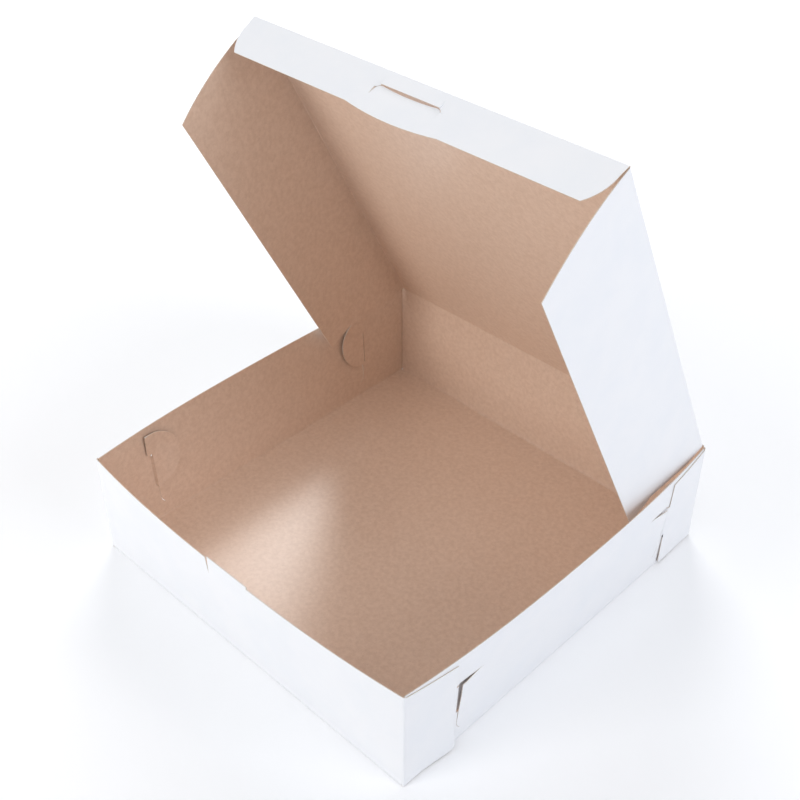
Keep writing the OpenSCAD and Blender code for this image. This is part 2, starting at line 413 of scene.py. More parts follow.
@dataclass
class CutSheet:
    """A panel cut to its outline and its slits, meshed flat in millimetres."""

    outline: Loop
    slits: list[Loop] = field(default_factory=list)
    step: float = 4.0
    clear_share: float = 0.4

    def inner_points(self, loops: list[Loop]) -> Loop:
        """Grid of points that keeps clear of the cuts.

        Args:
            loops: Outline and slits with points along them.

        Returns:
            Points of the grid.
        """
        starts = np.array([p for loop in loops for p in loop])
        stops = np.array([p for loop in loops for p in loop[1:] + loop[:1]])
        low, high = starts.min(0), starts.max(0)
        counts = np.maximum(1, np.ceil((high - low) / self.step)).astype(int)
        axes = [np.linspace(low[i], high[i], counts[i] + 1)[1:-1] for i in (0, 1)]
        grid = np.array(np.meshgrid(*axes)).reshape(2, -1).T
        run = stops - starts
        share = ((grid[:, None] - starts) * run).sum(2) / (run * run).sum(1)
        nearest = starts + np.clip(share, 0, 1)[..., None] * run
        clear = np.linalg.norm(grid[:, None] - nearest, axis=2).min(1) > self.clear_share * self.step
        return [tuple(p) for p in grid[clear].tolist()]

    @staticmethod
    def holds(x: float, y: float, loops: list[Loop]) -> bool:
        """Tell whether a point lies on the board, inside the outline and in none of the slits.

        Args:
            x: First place of the point.
            y: Second place of the point.
            loops: Outline and slits.

        Returns:
            True on the board.
        """
        inside = False
        for loop in loops:
            for (ax, ay), (bx, by) in zip(loop, loop[1:] + loop[:1]):
                if (ay > y) != (by > y) and x < ax + (y - ay) * (bx - ax) / (by - ay):
                    inside = not inside
        return inside

    def triangles(self) -> tuple[Loop, list[list[int]]]:
        """Mesh the panel.

        Returns:
            Points, and triangles that turn anticlockwise.
        """
        loops = [densify(loop, self.step) for loop in (self.outline, *self.slits)]
        points: Loop = []
        edges: list[tuple[int, int]] = []
        for loop in loops:
            first = len(points)
            edges += [(first + i, first + (i + 1) % len(loop)) for i in range(len(loop))]
            points += loop
        points += self.inner_points(loops)
        whole_hull = 0
        found = delaunay_2d_cdt([Vector(p) for p in points], edges, [], whole_hull, SAME_POINT)
        places = [(p.x, p.y) for p in found[0]]
        faces = []
        for face in found[2]:
            (ax, ay), (bx, by), (cx, cy) = (places[i] for i in face)
            turn = (bx - ax) * (cy - ay) - (by - ay) * (cx - ax)
            if abs(turn) > NO_AREA and self.holds((ax + bx + cx) / 3, (ay + by + cy) / 3, loops):
                faces.append(list(face) if turn > 0 else list(reversed(face)))
        return places, faces


class FoldedSheet:
    """Middle of the folded board, gathered panel by panel and joined at the folds."""

    def __init__(self) -> None:
        """Start an empty sheet."""
        self.mesh = bmesh.new()
        layers = self.mesh.verts.layers
        self.along = layers.float.new("along")
        self.up = layers.float.new("up")
        self.out = layers.float_vector.new("out")

    def add_faces(self, points: Sequence[Point], faces: Sequence[Sequence[int]], fold: Fold,
                  flip: bool) -> None:
        """Fold flat faces into place.

        Args:
            points: Flat points in millimetres.
            faces: Corners of each face.
            fold: Gives each flat point its place on the box.
            flip: Whether the faces turn the other way on the box.
        """
        used = sorted({i for face in faces for i in face})
        verts = {}
        for i in used:
            spot = fold(*points[i])
            vert = self.mesh.verts.new(spot.place * MM)
            vert[self.along], vert[self.up], vert[self.out] = spot.along, spot.up, spot.out
            verts[i] = vert
        for face in faces:
            corners = [verts[i] for i in face]
            self.mesh.faces.new(reversed(corners) if flip else corners)

    def add_panel(self, sheet: CutSheet, fold: Fold, flip: bool = False) -> None:
        """Mesh a cut panel and fold it into place.

        Args:
            sheet: The flat panel.
            fold: Gives each flat point its place on the box.
            flip: Whether the faces turn the other way on the box.
        """
        self.add_faces(*sheet.triangles(), fold, flip)

    def add_strip(self, ends: Point, step: float, parts: int, fold: Fold, flip: bool = False) -> None:
        """Add the strip of board that turns in a fold.

        Args:
            ends: Both ends of the fold line.
            step: Longest part along the fold line.
            parts: Number of parts across the fold.
            fold: Gives the place along the fold and the share across it, 0 to 1, their place.
            flip: Whether the faces turn the other way on the box.
        """
        count = max(1, math.ceil((ends[1] - ends[0]) / step - SAME_POINT))
        points = [
            (ends[0] + (ends[1] - ends[0]) * i / count, j / parts)
            for j in range(parts + 1) for i in range(count + 1)]
        row = count + 1
        faces = [
            (j * row + i, j * row + i + 1, (j + 1) * row + i + 1, (j + 1) * row + i)
            for j in range(parts) for i in range(count)]
        self.add_faces(points, faces, fold, flip)

    def to_object(self, name: str) -> bpy.types.Object:
        """Join the panels where they meet and make an object of the sheet.

        Args:
            name: Name of the piece.

        Returns:
            The new object, linked to the scene.
        """
        bmesh.ops.remove_doubles(self.mesh, verts=self.mesh.verts, dist=JOINED * MM)
        data = bpy.data.meshes.new(name)
        self.mesh.to_mesh(data)
        self.mesh.free()
        piece = bpy.data.objects.new(name, data)
        bpy.context.scene.collection.objects.link(piece)
        return piece


def run_tree(piece: bpy.types.Object, tree: bpy.types.NodeTree, values: dict[str, object]) -> None:
    """Run a geometry tree on an object and keep its result as a plain mesh.

    Args:
        piece: Object that the tree works on.
        tree: Geometry tree.
        values: Value of each named input.
    """
    modifier = piece.modifiers.new(tree.name, "NODES")
    modifier.node_group = tree
    for item in tree.interface.items_tree:
        if item.in_out == "INPUT" and item.name in values:
            modifier[item.identifier] = values[item.name]
    make_plain(piece)


def start_tree(name: str, inputs: dict[str, str]) -> tuple[bpy.types.NodeTree, bpy.types.Node]:
    """Start a geometry tree with its named inputs.

    Args:
        name: Name of the tree.
        inputs: Socket type of each input after the geometry.

    Returns:
        The tree and its input node.
    """
    tree = bpy.data.node_groups.new(name, "GeometryNodeTree")
    tree.interface.new_socket("Geometry", in_out="INPUT", socket_type="NodeSocketGeometry")
    for label, kind in inputs.items():
        tree.interface.new_socket(label, in_out="INPUT", socket_type=kind)
    tree.interface.new_socket("Geometry", in_out="OUTPUT", socket_type="NodeSocketGeometry")
    return tree, add_node(tree, "NodeGroupInput")


def end_tree(tree: bpy.types.NodeTree, geometry: bpy.types.NodeSocket, finish: bpy.types.NodeSocket) -> None:
    """End a geometry tree with real geometry in its material.

    Args:
        tree: Geometry tree.
        geometry: Socket with the finished geometry.
        finish: Socket with the material.
    """
    real = add_node(tree, "GeometryNodeRealizeInstances", {"Geometry": geometry})
    dressed = add_node(tree, "GeometryNodeSetMaterial", {
        "Geometry": real.outputs["Geometry"], "Material": finish})
    add_node(tree, "NodeGroupOutput", {"Geometry": dressed.outputs["Geometry"]})


def bow_tree() -> bpy.types.NodeTree:
    """Tree that bows the walls of a straight-sided sheet outwards.

    Returns:
        Geometry tree with inputs Bow, Power and Finish.
    """
    tree, start = start_tree("bowed_walls", {
        "Bow": "NodeSocketFloat", "Power": "NodeSocketFloat", "Finish": "NodeSocketMaterial"})
    along = add_node(tree, "GeometryNodeInputNamedAttribute", {"Name": "along"}, data_type="FLOAT")
    up = add_node(tree, "GeometryNodeInputNamedAttribute", {"Name": "up"}, data_type="FLOAT")
    out = add_node(tree, "GeometryNodeInputNamedAttribute", {"Name": "out"}, data_type="FLOAT_VECTOR")
    centred = add_node(tree, "ShaderNodeMath", {
        0: along.outputs["Attribute"], 1: 2.0, 2: -1.0}, operation="MULTIPLY_ADD")
    apart = add_node(tree, "ShaderNodeMath", {0: centred.outputs[0]}, operation="ABSOLUTE")
    fall = add_node(tree, "ShaderNodeMath", {
        0: apart.outputs[0], 1: start.outputs["Power"]}, operation="POWER")
    share = add_node(tree, "ShaderNodeMath", {0: 1.0, 1: fall.outputs[0]}, operation="SUBTRACT")
    rise = add_node(tree, "ShaderNodeMath", {
        0: share.outputs[0], 1: up.outputs["Attribute"]}, operation="MULTIPLY")
    reach = add_node(tree, "ShaderNodeMath", {
        0: rise.outputs[0], 1: start.outputs["Bow"]}, operation="MULTIPLY")
    shift = add_node(tree, "ShaderNodeVectorMath", {
        0: out.outputs["Attribute"], "Scale": reach.outputs[0]}, operation="SCALE")
    moved = add_node(tree, "GeometryNodeSetPosition", {
        "Geometry": start.outputs["Geometry"], "Offset": shift.outputs["Vector"]})
    end_tree(tree, moved.outputs["Geometry"], start.outputs["Finish"])
    return tree


def bead_tree() -> bpy.types.NodeTree:
    """Tree that runs a round bead along each line of a mesh.

    Returns:
        Geometry tree with inputs Radius and Finish.
    """
    tree, start = start_tree("pressed_bead", {"Radius": "NodeSocketFloat", "Finish": "NodeSocketMaterial"})
    line = add_node(tree, "GeometryNodeMeshToCurve", {"Mesh": start.outputs["Geometry"]})
    ring = add_node(tree, "GeometryNodeCurvePrimitiveCircle", {
        "Resolution": BEAD_SIDES, "Radius": start.outputs["Radius"]})
    bead = add_node(tree, "GeometryNodeCurveToMesh", {
        "Curve": line.outputs["Curve"], "Profile Curve": ring.outputs["Curve"], "Fill Caps": True})
    end_tree(tree, bead.outputs["Mesh"], start.outputs["Finish"])
    return tree


def report(piece: bpy.types.Object) -> None:
    """Log a finished piece with its number of faces."""
    LOG.info("%s: %d faces", piece.name, len(piece.data.polygons))


@dataclass
class Tray:
    """The open tray: floor, bowed walls, corner flaps and the tongues of the corner locks.

    Sizes are in millimetres. Those of the corner locks are measured from the corner along the
    side wall, and upwards from the table.
    """

    board: Board
    width: float = 230.0
    depth: float = 236.0
    height: float = 65.0
    back_height: float = 64.7
    bow: float = 6.0
    bow_power: float = 2.5
    foot: float = 1.0
    fold: float = 0.775
    layer: float = 0.6
    fine_gap: float = 0.05
    # Corner flaps
    lap_end: float = 32.8
    lap_drop: float = 4.0
    lap_tip: float = 2.5
    lap_notch: Point = (0.3, 0.8)
    back_rise: float = 0.5
    front_flare: float = 2.6
    back_flare: float = 0.7
    flare_start: float = 8.0
    flare_run: float = 4.0
    # Necks and tongues of the corner locks
    neck: Point = (23.925, 44.95)
    neck_run: float = 0.5
    dive: Point = (34.0, 35.7)
    dive_depth: float = 1.8
    tongue_centre: Point = (34.5, 41.925)
    tongue_radius: float = 19.0
    tongue_spring: float = 1.0
    tongue_end: float = 54.0
    hook_length: float = 3.0
    hook_spring: float = 0.9
    hook_top: float = 61.0
    # Slits of the corner locks
    slit: float = 0.2
    slit_edge: float = 36.2
    slit_top: float = 46.15
    slit_foot: float = 14.95
    slit_ramp: float = 1.5
    leg_end: float = 51.5
    leg_gap: float = 1.0
    leg_open: float = 1.1
    leg_slope: float = 0.024
    tail_radius: float = 7.0
    tail_turn: float = 232.0
    lip_lift: float = 1.3
    lip_foot: float = 12.0
    lip_drop: float = 2.0
    # Tongue of the front wall
    front_tongue_half: float = 15.0
    front_tongue_foot: float = 53.0
    front_tongue_lean: float = 0.9
    front_slit: float = 0.3
    # Pressed creases of the floor
    bead_radius: float = 0.28
    bead_inset: float = 0.3
    bead_rise: float = 0.12
    bead_short: float = 1.0
    # Longest sides of the faces
    wide_step: float = 6.0
    side_step: float = 3.0
    tongue_step: float = 1.0

    def up(self, z: float) -> float:
        """Share of the wall's height at which a point bows."""
        return (z - self.foot) / (self.height - self.foot)

    def floor_spot(self, x: float, y: float) -> Spot:
        """Place of a point of the floor."""
        return Spot(Vector((x, y, self.board.thickness / 2)))

    def end_spot(self, end: End, x: float, z: float) -> Spot:
        """Place of a point of the front or back wall.

        Args:
            end: Front or back.
            x: Sideways place.
            z: Height.

        Returns:
            The folded point; the back wall stays straight.
        """
        lean = 0.0
        if end is End.FRONT and abs(x) < self.front_tongue_half + self.front_slit / 2:
            part = max(0.0, z - self.front_tongue_foot) / (self.height - self.front_tongue_foot)
            lean = self.front_tongue_lean * part
        place = Vector((x, end.value * (self.depth / 2 - self.board.thickness / 2 - lean), z))
        way = Vector((0, -1, 0)) if end is End.FRONT else Vector((0, 0, 0))
        return Spot(place, x / self.width + 0.5, self.up(z), way)

    def side_spot(self, side: Side, along: float, z: float, shift: float) -> Spot:
        """Place of a point of a side wall or of what laps it.

        Args:
            side: Left or right.
            along: Distance from the front corner.
            z: Height.
            shift: Distance outwards from the middle of the corner flaps.

        Returns:
            The folded point.
        """
        x = side.value * (self.width / 2 - self.board.thickness / 2 + shift)
        place = Vector((x, along - self.depth / 2, z))
        return Spot(place, along / self.depth, self.up(z), Vector((side.value, 0, 0)))

    def lock_spot(self, side: Side, end: End, along: float, z: float, shift: float) -> Spot:
        """Place of a point of a corner lock, measured from its own corner."""
        return self.side_spot(side, along if end is End.FRONT else self.depth - along, z, shift)

    def flap_flare(self, end: End, along: float, z: float) -> float:
        """Distance that the free low end of a corner flap stands away from the wall.

        Args:
            end: Front or back.
            along: Distance from the corner.
            z: Height.

        Returns:
            Distance outwards.
        """
        most = self.front_flare if end is End.FRONT else self.back_flare
        reach = smooth(along, self.flare_start, self.lap_end + self.flare_run)
        return most * reach * smooth(z, self.neck[0], self.foot)

    def tongue_shift(self, along: float, z: float) -> float:
        """Distance that the neck and the tongue lie inwards of the corner flap.

        Args:
            along: Distance from the corner.
            z: Height.

        Returns:
            Distance outwards, below zero for inwards.
        """
        dived = max(smooth(along, *self.dive), smooth(z, self.neck[1], self.slit_top + self.leg_gap))
        spring = self.tongue_spring * smooth(along, self.slit_edge, self.tongue_end)
        spring += self.hook_spring * smooth(z, self.slit_top, self.hook_top)
        return -self.dive_depth * dived - spring

    def lip_shift(self, along: float, z: float) -> float:
        """Distance that a hooked tongue pushes the lip of the wall beside its slit outwards.

        Args:
            along: Distance from the front corner.
            z: Height.

        Returns:
            Distance outwards, most at the upper corner of the lip.
        """
        along = min(along, self.depth - along)
        under_leg = z < self.slit_top - self.slit - self.leg_slope * (self.leg_end - along)
        if along < self.slit_edge - self.fine_gap or not under_leg:
            return 0.0
        near = smooth(along, self.leg_end - self.leg_gap, self.slit_edge)
        return self.lip_lift * near * smooth(z, self.lip_foot, self.slit_top - self.lip_drop)

    def add_floor(self, sheet: FoldedSheet) -> None:
        """Add the floor and the folds that turn up into the walls.

        Args:
            sheet: Sheet that they join.
        """
        x, y = self.width / 2 - self.layer - self.foot, self.depth / 2 - self.foot
        cut, middle = self.fine_gap, self.fold
        outline = [
            (-x, cut - y), (cut - x, -y), (x - cut, -y), (x, cut - y),
            (x, y - cut), (x - cut, y), (cut - x, y), (-x, y - cut)]
        sheet.add_panel(CutSheet(outline, step=self.wide_step), self.floor_spot, flip=True)
        for end in End:
            def turn_end(along: float, part: float, end: End = end) -> Spot:
                """Quarter turn from the floor into an end wall."""
                angle = part * math.pi / 2
                across = end.value * (y + middle * math.sin(angle))
                return Spot(Vector((along, across, self.foot - middle * math.cos(angle))))
            sheet.add_strip(
                (cut - x, x - cut), self.wide_step, TRAY_FOLD_PARTS, turn_end, flip=end is End.BACK)
        for side in Side:
            def turn_side(along: float, part: float, side: Side = side) -> Spot:
                """Quarter turn from the floor into a side wall."""
                angle = part * math.pi / 2
                across = side.value * (x + middle * math.sin(angle))
                return Spot(Vector((across, along, self.foot - middle * math.cos(angle))))
            sheet.add_strip(
                (cut - y, y - cut), self.side_step, TRAY_FOLD_PARTS, turn_side, flip=side is Side.LEFT)

    def add_end(self, sheet: FoldedSheet, end: End) -> None:
        """Add the front or the back wall with its corner folds, flaps and tongues.

        Args:
            sheet: Sheet that they join.
            end: Front or back.
        """
        top = self.height if end is End.FRONT else self.back_height
        x = self.width / 2 - self.foot
        inner = x - self.layer - self.fine_gap
        half, low, gap = self.front_tongue_half, self.front_tongue_foot, self.front_slit
        slits = []
        if end is End.FRONT:
            slits = [
                (half + gap, top), (half + gap / 2, low), (half, top),
                (-half, top), (-half - gap / 2, low), (-half - gap, top)]
        outline = [
            (-x, self.foot), (-inner, self.foot), (inner, self.foot), (x, self.foot), (x, top), *slits,
            (-x, top)]
        sheet.add_panel(
            CutSheet(outline, step=self.wide_step), lambda px, z: self.end_spot(end, px, z), end is End.BACK)
        for side in Side:
            mirrored = (side is Side.LEFT) != (end is End.BACK)
            self.add_corner(sheet, side, end, top, mirrored)

    def add_corner(self, sheet: FoldedSheet, side: Side, end: End, top: float,
                   mirrored: bool) -> None:
        """Add one corner fold, the flap that laps the side wall and its tongue.

        Args:
            sheet: Sheet that they join.
            side: Left or right.
            end: Front or back.
            top: Height of the end wall.
            mirrored: Whether the corner is a mirror image of the right front one.
        """
        def turn(z: float, part: float) -> Spot:
            """Quarter turn from the end wall into the corner flap.

            Args:
                z: Height.
                part: Share across the fold, 0 to 1.

            Returns:
                The folded point.
            """
            angle = part * math.pi / 2
            place = Vector((
                side.value * (self.width / 2 - self.foot + self.fold * math.sin(angle)),
                end.value * (self.depth / 2 - self.foot + self.fold * math.cos(angle)), z))
            out = Vector((side.value * math.sin(angle), -math.cos(angle) if end is End.FRONT else 0, 0))
            return Spot(place, self.foot / self.depth, self.up(z), out)

        stretches = [(self.foot, top), (self.board.thickness / 2, self.foot)]
        if end is End.BACK:
            stretches.append((top, top + self.back_rise))
        for stretch in stretches:
            sheet.add_strip(stretch, self.wide_step, TRAY_FOLD_PARTS, turn, flip=not mirrored)
        low, high = self.neck
        tip = self.lap_tip
        notch = self.foot + self.lap_notch[0]
        flap = [
            (self.foot, self.foot), (self.lap_end - tip, self.foot),
            *arc((self.lap_end - tip, self.foot + tip), tip, -90, 0, 5)[1:],
            (self.lap_end, low), (self.lap_end, high), (self.lap_end, self.height - self.lap_drop),
            (notch, top - self.lap_notch[1]), (notch, top), (self.foot, top)]
        sheet.add_panel(
            CutSheet(flap, step=self.wide_step),
            lambda c, z: self.lock_spot(side, end, c, z, self.flap_flare(end, c, z)), mirrored)
        middle = self.tongue_centre
        inner = middle[0] + self.neck_run
        hook = middle[0] - self.hook_length
        leg = self.slit_top + self.leg_gap
        first = -90 + math.degrees(math.asin((inner - middle[0]) / self.tongue_radius))
        last = 90 + math.degrees(math.asin((middle[0] - hook) / self.tongue_radius))
        tongue = [
            (self.lap_end, low), (inner, low), *arc(middle, self.tongue_radius, first, last, 48),
            (hook, leg), (inner, leg), (inner, high), (self.lap_end, high)]
        sheet.add_panel(
            CutSheet(tongue, step=self.tongue_step),
            lambda c, z: self.lock_spot(side, end, c, z, self.tongue_shift(c, z)), mirrored)

    def lock_slit(self) -> Loop:
        """Cut in a side wall for one corner lock: window, leg above and curved tail below.

        Returns:
            Corners of the cut, for the lock at the front.
        """
        slit, edge, start = self.slit, self.slit_edge, self.dive[0]
        radius, turn = self.tail_radius, self.tail_turn
        low, high = self.neck[0] - slit, self.neck[1] + self.fine_gap
        centre = (edge - slit / 2 + radius, self.slit_foot)
        return [
            (start + self.slit_ramp, self.slit_top), (start, high), (start, low), (edge - slit, low),
            *arc(centre, radius + slit / 2, 180, turn), *arc(centre, radius - slit / 2, turn, 180),
            (edge, self.slit_top - self.leg_open), (self.leg_end, self.slit_top - slit)]

    def add_side(self, sheet: FoldedSheet, side: Side) -> None:
        """Add a side wall with its two lock slits.

        Args:
            sheet: Sheet that it joins.
            side: Left or right.
        """
        start, stop, cut = self.foot, self.depth - self.foot, self.fine_gap
        slits = [self.lock_slit(), [(self.depth - c, z) for c, z in reversed(self.lock_slit())]]
        outline = [
            (start, self.foot), (start + cut, self.foot), (stop - cut, self.foot), (stop, self.foot),
            (stop, self.height), (start, self.height)]
        sheet.add_panel(
            CutSheet(outline, slits, step=self.side_step),
            lambda c, z: self.side_spot(side, c, z, self.lip_shift(c, z) - self.layer), side is Side.LEFT)

    def add_beads(self) -> bpy.types.Object:
        """Make the beads that the creasing rule leaves inside the folds of the floor.

        Returns:
            The finished piece.
        """
        x = self.width / 2 - self.layer - self.foot + self.bead_inset
        y = self.depth / 2 - self.foot + self.bead_inset
        z, short = self.board.thickness + self.bead_rise, self.bead_short
        ends = [((-x + short, s * y, z), (x - short, s * y, z)) for s in (-1, 1)]
        ends += [((s * x, -y + short, z), (s * x, y - short, z)) for s in (-1, 1)]
        points = [Vector(p) * MM for pair in ends for p in pair]
        lines = [(2 * i, 2 * i + 1) for i in range(len(ends))]
        data = bpy.data.meshes.new("floor_creases")
        data.from_pydata(points, lines, [])
        piece = bpy.data.objects.new("floor_creases", data)
        bpy.context.scene.collection.objects.link(piece)
        run_tree(piece, bead_tree(), {"Radius": self.bead_radius * MM, "Finish": self.board.inside})
        piece.data.shade_smooth()
        return piece

    def build(self) -> None:
        """Fold the tray, bow its walls and put it on its body."""
        sheet = FoldedSheet()
        self.add_floor(sheet)
        for end in End:
            self.add_end(sheet, end)
        for side in Side:
            self.add_side(sheet, side)
        tray = sheet.to_object("tray_sheet")
        run_tree(tray, bow_tree(), {
            "Bow": self.bow * MM, "Power": self.bow_power, "Finish": self.board.outside})
        self.board.thicken(tray)
        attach(tray, "tray")
        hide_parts("tray")
        beads = self.add_beads()
        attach(beads, "tray")
        for piece in (tray, beads):
            report(piece)


@dataclass
class LidFrame:
    """Frame of the open lid: u runs from the hinge along the lid, v towards its inside."""

    hinge_y: float = 117.775
    hinge_z: float = 65.6
    open_deg: float = 63.0

    def place(self, x: float, u: float, v: float) -> Vector:
        """Place of a point of the lid on the box.

        Args:
            x: Sideways place.
            u: Distance from the hinge along the lid.
            v: Distance from the lid towards its inside.

        Returns:
            Place in millimetres.
        """
        cos, sin = (f(math.radians(self.open_deg)) for f in (math.cos, math.sin))
        return Vector((x, self.hinge_y - u * cos - v * sin, self.hinge_z + u * sin - v * cos))


@dataclass
class Lid:
    """The lid panel with its tuck flap in front and a flap on each side.

    Sizes are in millimetres, in the frame of the lid. The reach of a fold is the stretch of
    board on each side of its line that turns with it.
    """

    board: Board
    frame: LidFrame = field(default_factory=LidFrame)
    length: float = 233.467
    fold_x: float = 112.85
    hinge_half: float = 113.7
    fold_drop: float = 0.5
    reach: float = 0.9
    side_reach: float = 0.7
    sag: float = 0.8
    # Tuck flap and its tab
    front_half: float = 112.8
    front_depth: float = 23.2
    front_taper: float = 0.6
    front_corner: float = 24.0
    front_turn: float = 45.0
    swell_half: float = 28.0
    swell_rise: float = 2.3
    tab_half: float = 20.0
    tab_top: float = 8.5
    tab_leg: float = 7.0
    tab_corner: float = 3.2
    tab_open: float = 1.0
    tab_lean: float = 0.9
    slit: float = 0.35
    # Side flaps, with the shares of their depth between which the rear is cut away
    side_ends: Point = (0.6, 232.5)
    side_depth: float = 63.65
    side_curve: float = 12.5
    side_relief: float = 16.5
    relief_run: float = 1.9
    relief_shares: Point = (0.22, 0.71)
    side_bulge: float = 1.3
    # Longest sides of the faces
    tuck_step: float = 4.0
    side_step: float = 5.0
    wide_step: float = 6.0

    def panel_spot(self, x: float, u: float) -> Spot:
        """Place of a point of the lid panel, which sags a little in its middle.

        Args:
            x: Sideways place.
            u: Distance from the hinge.

        Returns:
            The folded point.
        """
        half, span = self.fold_x - self.side_reach, self.length - 2 * self.reach
        share = (1 - (x / half) ** 2) * math.sin(math.pi * (u - self.reach) / span)
        return Spot(self.frame.place(x, u, self.sag * max(0.0, share)))

    def tuck_spot(self, x: float, v: float) -> Spot:
        """Place of a point of the tuck flap, whose tab leans in at its cut edge.

        Args:
            x: Sideways place.
            v: Distance from the lid.

        Returns:
            The folded point.
        """
        lean = 0.0
        free = self.tab_top + self.slit / 2
        if abs(x) < self.tab_half - self.slit / 2 and free < v < self.tab_top + self.tab_leg:
            lean = self.tab_lean * smooth(v, self.tab_top + self.tab_leg, self.tab_top)
        return Spot(self.frame.place(x, self.length - lean, v))

    def side_spot(self, side: Side, u: float, v: float) -> Spot:
        """Place of a point of a side flap, which bulges between its fold and its free edge.

        Args:
            side: Left or right.
            u: Distance from the hinge.
            v: Distance from the lid.

        Returns:
            The folded point.
        """
        low, high = self.side_ends
        top = self.fold_drop + self.side_reach
        share = min(max((v - top) / (self.side_depth - top), 0.0), 1.0)
        bulge = self.side_bulge * math.sin(math.pi * share) * math.sin(math.pi * (u - low) / (high - low))
        return Spot(self.frame.place(side.value * (self.fold_x + bulge), u, v))

    def swell(self, half: float, rise: float, edge: float) -> Loop:
        """Points of a shallow swell on a straight edge, from right to left.

        Args:
            half: Half of the swell's length.
            rise: Height of the swell.
            edge: Place of the straight edge.

        Returns:
            The points in order.
        """
        radius = (half ** 2 + rise ** 2) / (2 * rise)
        spread = math.degrees(math.asin(half / radius))
        return arc((0, edge + rise - radius), radius, 90 - spread, 90 + spread, 24)

    def tab_slit(self) -> Loop:
        """Slit round the tab of the tuck flap, open where the tab leans in.

        Returns:
            Corners of the slit.
        """
        half, corner, slit = self.tab_half, self.tab_corner, self.slit
        foot, mid = self.tab_top + self.tab_leg, self.tab_top + corner
        right, left = (half - corner, mid), (corner - half, mid)
        return [
            (-half + slit / 2, foot), *arc(left, corner, 180, 270), *arc(right, corner, 270, 360),
            (half - slit / 2, foot), *arc(right, corner - slit, 360, 270),
            *self.swell(half - corner - slit, self.tab_open, self.tab_top + slit),
            *arc(left, corner - slit, 270, 180)]

    def tuck_sheet(self) -> CutSheet:
        """Flat tuck flap with its curved ends and the slit of its tab.

        Returns:
            The flat panel.
        """
        half, top = self.front_half, self.reach
        turn = self.front_turn
        lower = half - self.front_taper - self.front_corner
        shoulder = self.front_depth - self.front_corner * math.sin(math.radians(turn))
        outline = [
            (half, top), *arc((lower, shoulder), self.front_corner, 0, turn),
            *self.swell(self.swell_half, self.swell_rise, self.front_depth),
            *arc((-lower, shoulder), self.front_corner, 180 - turn, 180), (-half, top)]
        return CutSheet(outline, [self.tab_slit()], step=self.tuck_step)

    def side_sheet(self) -> CutSheet:
        """Flat side flap, its front edge curved back and its rear cut away.

        Returns:
            The flat panel.
        """
        rear, front = self.side_ends
        top = self.fold_drop + self.side_reach
        deep = self.side_depth - self.fold_drop
        radius = (deep ** 2 + self.side_curve ** 2) / (2 * self.side_curve)
        spread = math.degrees(math.asin(deep / radius))
        skip = math.degrees(math.asin(self.side_reach / radius))
        edge = arc((front - radius, self.fold_drop), radius, skip, spread, 24)
        high, low = (self.fold_drop + share * deep for share in self.relief_shares)
        outline = [
            (rear, top), *edge, (self.side_relief, self.side_depth), (self.side_relief, low),
            (rear + self.relief_run, high)]
        return CutSheet(outline, step=self.side_step)

    def finish(self, piece: bpy.types.Object, body: str, *nodes: str) -> None:
        """Thicken a panel, put it on its body and let it stand for its solids.

        Args:
            piece: The folded panel.
            body: Body that it rides on.
            nodes: Solids that it stands for.
        """
        self.board.thicken(piece)
        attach(piece, body)
        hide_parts(*nodes)
        report(piece)

    def build_panel(self) -> None:
        """Make the lid panel."""
        half, low, high = self.fold_x - self.side_reach, self.reach, self.length - self.reach
        outline = [(-half, low), (half, low), (half, high), (-half, high)]
        sheet = FoldedSheet()
        sheet.add_panel(CutSheet(outline, step=self.wide_step), self.panel_spot, flip=True)
        self.finish(sheet.to_object("lid_panel"), "lid", "lid")

    def build_tuck(self) -> None:
        """Make the tuck flap."""
        sheet = FoldedSheet()
        sheet.add_panel(self.tuck_sheet(), self.tuck_spot, flip=True)
        self.finish(sheet.to_object("tuck_flap"), "front_flap", "lid_front_flap")

    def build_side(self, side: Side) -> None:
        """Make a side flap.

        Args:
            side: Left or right.
        """
        word = side.name.lower()
        sheet = FoldedSheet()
        sheet.add_panel(self.side_sheet(), lambda u, v: self.side_spot(side, u, v), side is Side.LEFT)
        self.finish(sheet.to_object(f"{word}_side_flap"), f"{word}_flap", f"lid_{word}_flap")

    def build_fold(self, name: str, ends: Point, path: Callable[[float, float], Vector],
                   flip: bool) -> None:
        """Make the strip of board that turns in a fold, shaped for the fold as it now stands.

        Args:
            name: Name of the piece.
            ends: Both ends of the fold line.
            path: Place for a distance along the fold line and a share across the fold.
            flip: Whether the faces turn the other way on the box.
        """
        sheet = FoldedSheet()
        sheet.add_strip(
            ends, self.wide_step, LID_FOLD_PARTS, lambda along, part: Spot(path(along, part)), flip)
        piece = sheet.to_object(name)
        self.board.thicken(piece)
        middle = sum(ends) / 2
        path(middle, 0) * MM
        path(middle, 1) * MM
        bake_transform(piece)
        report(piece)

    def bend(self, first: Vector, corner: Vector, last: Vector, part: float) -> Vector:
        """Point on a soft turn between two panels that meet at a corner."""
        return first * (1 - part) ** 2 + corner * (2 * part * (1 - part)) + last * part ** 2

    def build_folds(self) -> None:
        """Make the strips that bend at the hinge of the lid and at the folds of its flaps."""
        place, reach = self.frame.place, self.reach
        half = self.fold_x - self.side_reach

        def hinge(x: float, part: float) -> Vector:
            """Turn from the back wall into the lid."""
            corner = place(x, 0, 0)
            return self.bend(corner - Vector((0, 0, reach)), corner, place(x, reach, 0), part)

        def front(x: float, part: float) -> Vector:
            """Turn from the lid into the tuck flap."""
            corner = place(x, self.length, 0)
            return self.bend(
                place(x, self.length - reach, 0), corner, place(x, self.length, reach), part)

